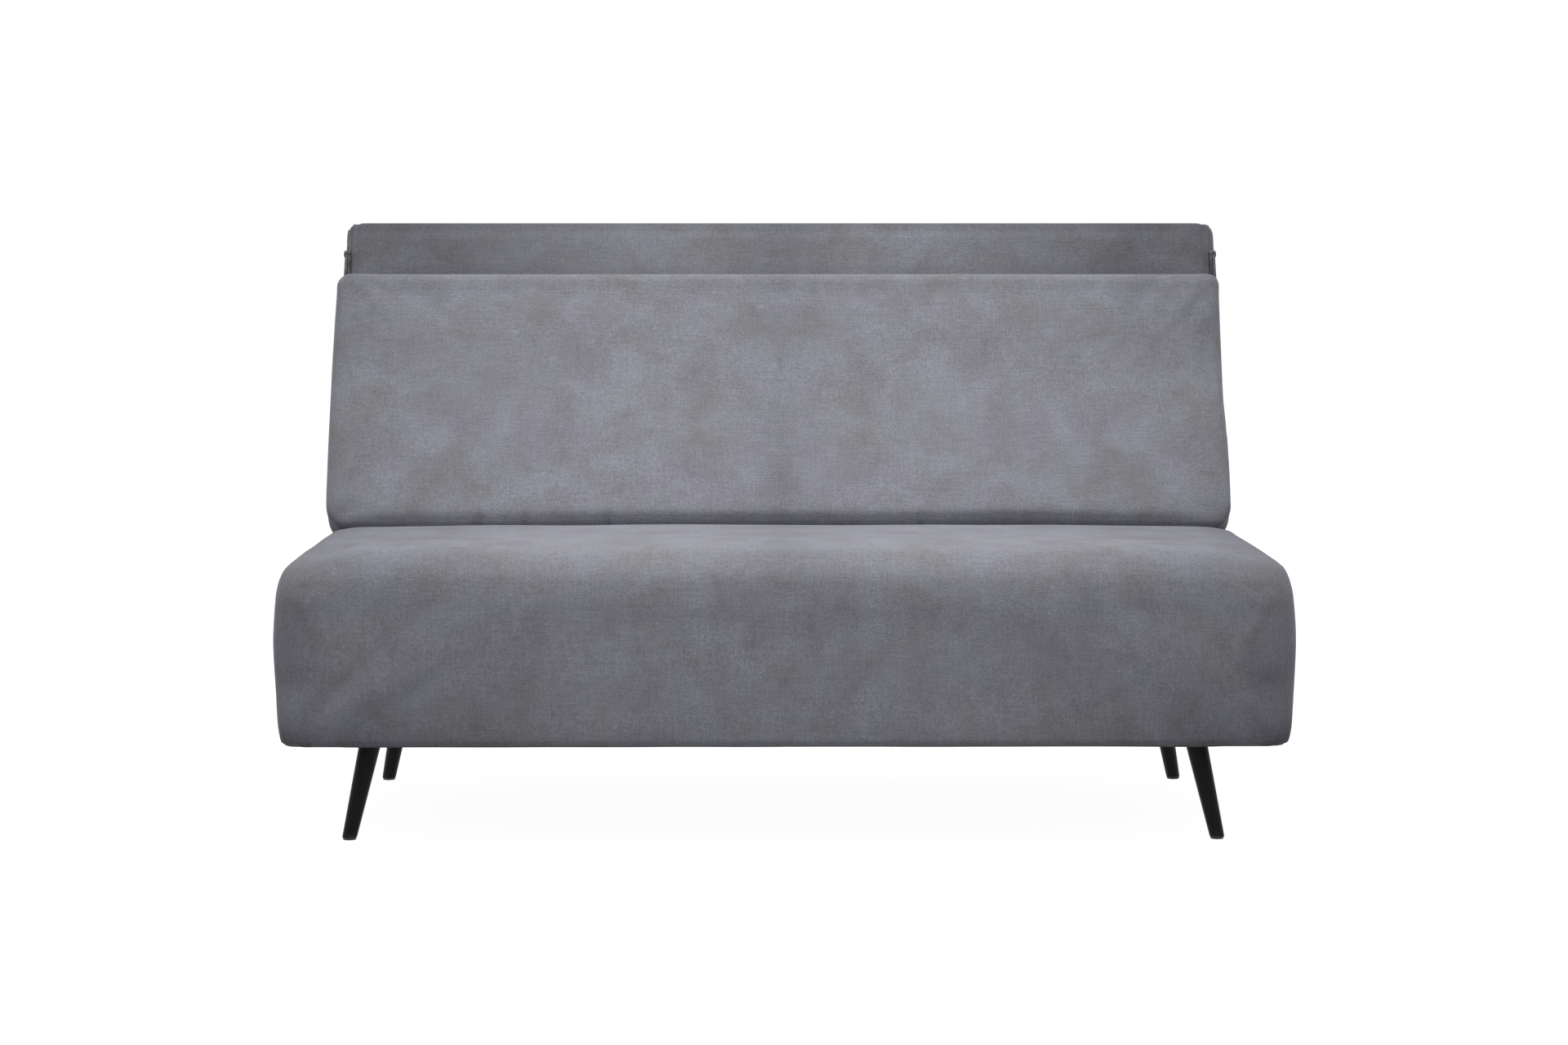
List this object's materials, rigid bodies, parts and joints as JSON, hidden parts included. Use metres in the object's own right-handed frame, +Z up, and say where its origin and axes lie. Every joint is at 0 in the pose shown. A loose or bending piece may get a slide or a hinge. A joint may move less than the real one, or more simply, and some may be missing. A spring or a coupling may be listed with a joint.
{
  "type": "armless sofa",
  "caption": "Armless fold-out sofa bed: a seat on splayed legs with two back sections that recline and unfold into a flat bed, and support legs that swing down.",
  "frame": {"origin": "on the floor under the middle of the object's box, with the back folded up", "axes": "+X along the width to the right as seen from the front, +Y to the rear, +Z up"},
  "size_m": [1.554, 1.0228, 0.9431],
  "materials": {
    "fabric": "soft suede-like weave",
    "foam": "open-cell foam",
    "dust_cloth": "black non-woven cloth",
    "board_wood": "raw softwood",
    "slat_wood": "bent laminated wood",
    "holder_plastic": "moulded",
    "leg_paint": "black satin lacquer",
    "glide_plastic": "moulded",
    "hinge_steel": "dark powder coat",
    "zinc_steel": "zinc plated"
  },
  "bodies": {
    "seat_base": {"front_board": "board_wood", "rear_board": "board_wood", "side_board_left": "board_wood", "side_board_right": "board_wood", "centre_beam": "board_wood", "leg_blocks": "board_wood", "seat_slats": "slat_wood", "seat_slat_holders": "holder_plastic", "seat_foam": "foam", "seat_cover": "fabric", "seat_dust_cover": "dust_cloth", "leg_front_left": "leg_paint", "leg_front_right": "leg_paint", "leg_rear_left": "leg_paint", "leg_rear_right": "leg_paint", "foot_glides": "glide_plastic", "leg_plates": "zinc_steel", "leg_bolts": "zinc_steel", "leg_plate_screws": "zinc_steel", "hinge_bracket_left": "hinge_steel", "hinge_bracket_right": "hinge_steel", "hinge_bracket_bolts": "zinc_steel", "recline_pins": "zinc_steel"},
    "front_back": {"front_back_side_rails": "board_wood", "front_back_cross_rails": "board_wood", "front_back_centre_rail": "board_wood", "front_back_slats": "slat_wood", "front_back_slat_holders": "holder_plastic", "front_back_foam": "foam", "front_back_cover": "fabric", "front_back_dust_cover": "dust_cloth", "recline_arm_left": "hinge_steel", "recline_arm_right": "hinge_steel", "recline_arm_bolts": "zinc_steel", "fold_arm_left": "hinge_steel", "fold_arm_right": "hinge_steel", "fold_arm_bolts": "zinc_steel"},
    "rear_back": {"rear_back_side_rails": "board_wood", "rear_back_cross_rails": "board_wood", "rear_back_centre_rail": "board_wood", "rear_back_slats": "slat_wood", "rear_back_slat_holders": "holder_plastic", "rear_back_foam": "foam", "rear_back_cover": "fabric", "rear_back_dust_cover": "dust_cloth", "fold_leaf_left": "hinge_steel", "fold_leaf_right": "hinge_steel", "fold_leaf_bolts": "zinc_steel", "fold_pins": "zinc_steel", "support_leg_pins": "zinc_steel"},
    "support_legs": {"support_leg_left": "hinge_steel", "support_leg_right": "hinge_steel", "support_leg_feet": "glide_plastic"}
  },
  "joints": [
    {"name": "back_recline", "type": "hinge", "parent": "seat_base", "child": "front_back", "pos_m": [0, 0.18957, 0.356], "axis": [-1, 0, 0], "range_deg": [0, 70]},
    {"name": "rear_unfold", "type": "hinge", "parent": "front_back", "child": "rear_back", "pos_m": [0, 0.4084, 0.89145], "axis": [1, 0, 0], "range_deg": [0, 180]},
    {"name": "support_leg_swing", "type": "hinge", "parent": "rear_back", "child": "support_legs", "pos_m": [0, 0.25225, 0.42151], "axis": [1, 0, 0], "range_deg": [0, 90]}
  ],
  "couplings": [
    {"joint": "rear_unfold", "follows": "back_recline", "ratio": 2.5714},
    {"joint": "support_leg_swing", "follows": "back_recline", "ratio": 1.2857}
  ]
}
